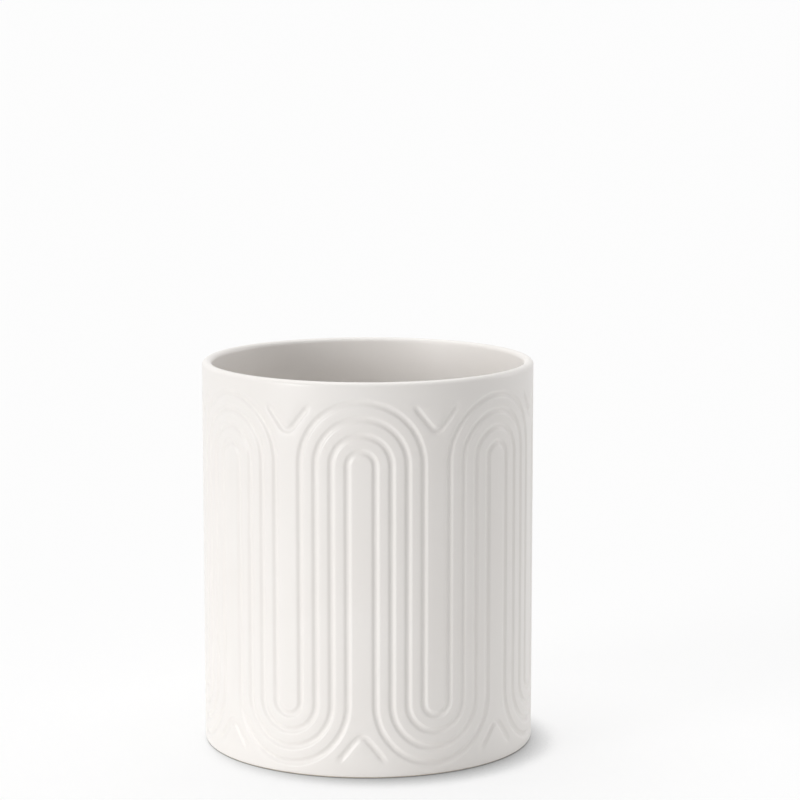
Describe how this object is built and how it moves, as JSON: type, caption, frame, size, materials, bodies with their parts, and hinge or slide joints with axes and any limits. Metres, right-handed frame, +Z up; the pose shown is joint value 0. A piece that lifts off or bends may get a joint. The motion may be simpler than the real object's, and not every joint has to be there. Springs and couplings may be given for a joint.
{
  "type": "utensil crock",
  "caption": "Straight-sided glazed stoneware crock for kitchen tools, with winding arch grooves pressed round its wall.",
  "frame": {"origin": "middle of the foot, on the surface that the crock stands on", "axes": "+Z up along the crock's axis; -Y is the front, where the middle of one upper arch lies; +X to the right seen from the front"},
  "size_m": [0.157, 0.157, 0.183],
  "materials": {
    "glazed_stoneware": "warm white satin glaze"
  },
  "bodies": {
    "root": {"crock_body": "glazed_stoneware"}
  },
  "joints": []
}
